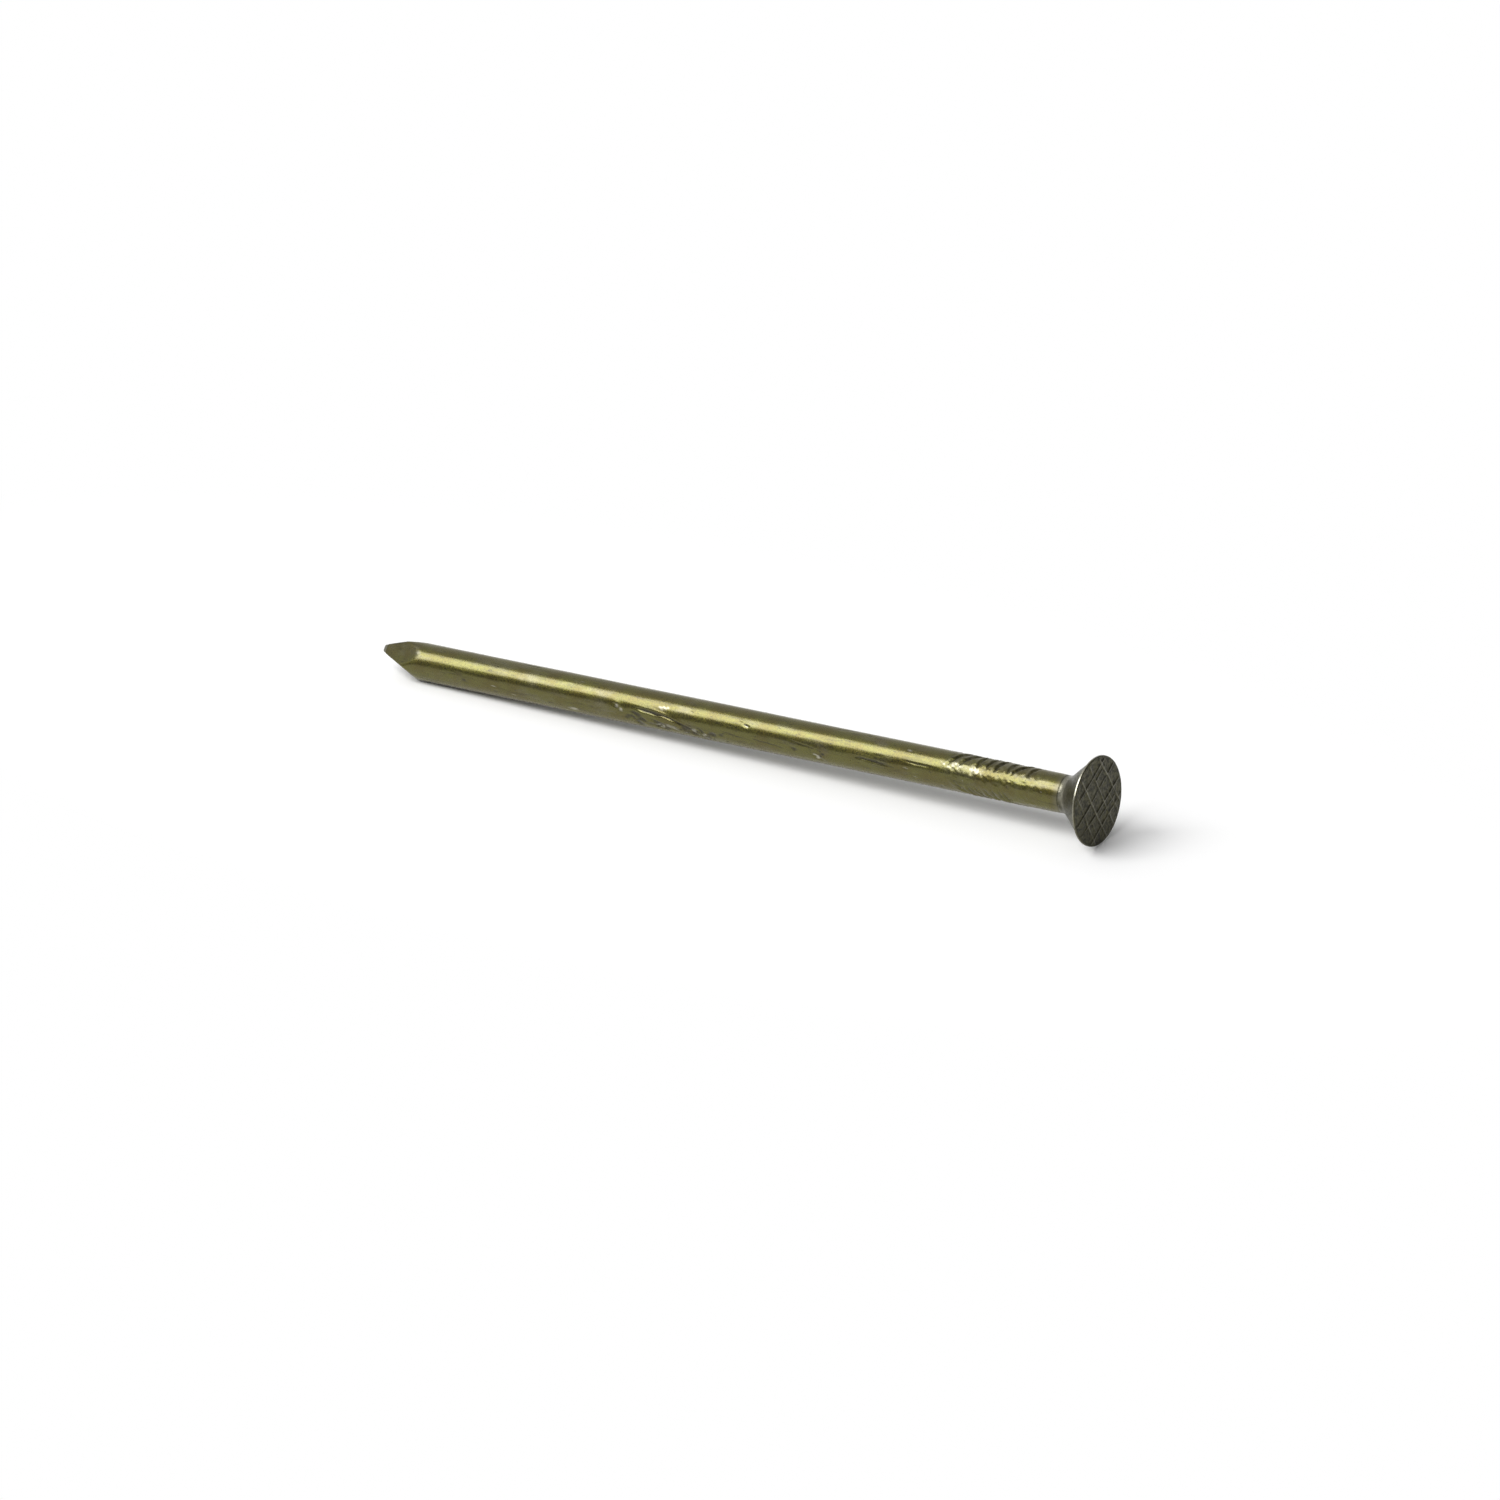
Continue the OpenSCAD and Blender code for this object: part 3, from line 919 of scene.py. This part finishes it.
def build_floor(stage):
    """White paper that shows the nail's shadow near it and is plain white farther off."""
    mesh = bpy.data.meshes.new("floor")
    half = FLOOR_HALF
    mesh.from_pydata([(-half, -half, 0), (half, -half, 0), (half, half, 0), (-half, half, 0)], [],
                     [(0, 1, 2, 3)])
    g = Graph(bpy.data.materials.new("floor_paper"))
    place = g.add("ShaderNodeTexCoord").outputs["Object"]
    near = g.add("ShaderNodeVectorMath", {"operation": "DIVIDE"}, i0=place,
                 i1=stage.shadow_reach).outputs[0]
    far = g.add("ShaderNodeVectorMath", {"operation": "LENGTH"}, i0=near).outputs["Value"]
    rays = g.add("ShaderNodeLightPath").outputs
    seen = g.math("ADD", rays["Is Camera Ray"], rays["Is Glossy Ray"])
    seen = g.math("ADD", seen, rays["Is Transmission Ray"], clamp=True)
    white = g.math("MULTIPLY", seen, g.ramp(far, 1, 1.8))
    paper = g.add("ShaderNodeBsdfDiffuse", Color=rgba(stage.floor_colour))
    glow = g.add("ShaderNodeEmission", Strength=1.0)
    shader = g.add("ShaderNodeMixShader", i0=white, i1=paper.outputs[0], i2=glow.outputs[0])
    mesh.materials.append(g.finish(shader))
    floor = bpy.data.objects.new("floor", mesh)
    bpy.context.scene.collection.objects.link(floor)


def build_room(stage):
    """A pale room: bright on the point's side, dim on the head's side and low in front."""
    world = bpy.data.worlds.new("room")
    g = Graph(world)
    place = g.add("ShaderNodeTexCoord").outputs["Generated"]
    light = stage.room_strength
    # the bright side, the cosines to it between which the light rises, and its share before that
    dimmed = (((-1, 0, 0), -0.4, 0.5, stage.dim_side),
              ((0.5, 0.84, -0.2), -0.95, -0.75, stage.dim_front))
    for toward, low, high, dim in dimmed:
        dot = g.add("ShaderNodeVectorMath", {"operation": "DOT_PRODUCT"}, i0=place,
                    i1=Vector(toward).normalized()).outputs["Value"]
        light = g.math("MULTIPLY", light, g.ramp(dot, low, high, dim, 1.0))
    back = g.add("ShaderNodeBackground", Strength=light)
    g.add("ShaderNodeOutputWorld", Surface=back.outputs[0])
    bpy.context.scene.world = world


def build_softbox(stage):
    """A rectangular lamp that faces the nail."""
    width, height = KEY_SIZE
    data = bpy.data.lights.new("key_softbox", "AREA")
    data.shape = "RECTANGLE"
    data.size, data.size_y = width, height
    data.energy = stage.key_strength * math.pi * width * height
    lamp = bpy.data.objects.new("key_softbox", data)
    toward = Vector(KEY_TOWARD).normalized()
    lamp.location = toward * KEY_DISTANCE
    lamp.rotation_euler = toward.to_track_quat("Z", "Y").to_euler()
    bpy.context.scene.collection.objects.link(lamp)


def build_camera(stage):
    """A camera that looks at a point near the middle of the nail."""
    az, el = stage.azimuth, stage.elevation
    back = Vector((math.sin(az) * math.cos(el), -math.cos(az) * math.cos(el), math.sin(el)))
    right = Vector((math.cos(az), math.sin(az), 0))
    up = back.cross(right)
    middle = (Vector(CAD_BOX[0]) + Vector(CAD_BOX[1])) / 2
    aim = middle + right * stage.aim_right + up * stage.aim_up
    data = bpy.data.cameras.new("camera")
    data.angle = stage.view_angle
    camera = bpy.data.objects.new("camera", data)
    camera.matrix_world = Matrix.Translation(aim + back * stage.distance) @ Matrix(
        (right, up, back)).transposed().to_4x4()
    bpy.context.scene.collection.objects.link(camera)
    bpy.context.scene.camera = camera


# ---------------------------------------------------------------- operators


class NAIL_OT_stage(Operator):
    """Make the floor, the room, the softbox and the camera"""
    bl_idname = "nail.build_stage"
    bl_label = "Build the stage"

    def execute(self, context):
        stage = context.scene.nail_stage
        build_floor(stage)
        build_room(stage)
        build_softbox(stage)
        build_camera(stage)
        context.scene.view_settings.view_transform = "Standard"
        return {"FINISHED"}


class NAIL_OT_steel(Operator):
    """Make the headed and pointed steel wire"""
    bl_idname = "nail.build_steel"
    bl_label = "Build the steel nail"

    def execute(self, context):
        build_steel()
        return {"FINISHED"}


class NAIL_OT_film(Operator):
    """Make the resin film over the shank and the point"""
    bl_idname = "nail.build_film"
    bl_label = "Build the resin film"

    def execute(self, context):
        build_film()
        return {"FINISHED"}


class NAIL_PT_sidebar(Panel):
    """Lists the nail's operators and settings"""
    bl_idname = "NAIL_PT_sidebar"
    bl_label = "Coated nail"
    bl_space_type = "VIEW_3D"
    bl_region_type = "UI"
    bl_category = "Nail"

    def draw(self, context):
        layout = self.layout
        for operator in (NAIL_OT_stage, NAIL_OT_steel, NAIL_OT_film):
            layout.operator(operator.bl_idname)
        for settings in SETTINGS:
            box = layout.box()
            group = getattr(context.scene, settings)
            for key in group.__annotations__:
                box.prop(group, key)


SETTINGS = {
    "nail_steel": NailSteelSettings,
    "nail_point": NailPointSettings,
    "nail_film": NailFilmSettings,
    "nail_stage": NailStageSettings,
}
CLASSES = (*SETTINGS.values(), NAIL_OT_stage, NAIL_OT_steel, NAIL_OT_film, NAIL_PT_sidebar)


def register():
    """Register the classes and give the scene its settings"""
    for cls in CLASSES:
        bpy.utils.register_class(cls)
    for name, cls in SETTINGS.items():
        setattr(bpy.types.Scene, name, PointerProperty(type=cls))


def unregister():
    """Undo what register did"""
    for name in SETTINGS:
        delattr(bpy.types.Scene, name)
    for cls in reversed(CLASSES):
        bpy.utils.unregister_class(cls)


def main():
    register()
    bpy.ops.nail.build_stage()
    bpy.ops.nail.build_steel()
    bpy.ops.nail.build_film()


if __name__ == "__main__":
    main()
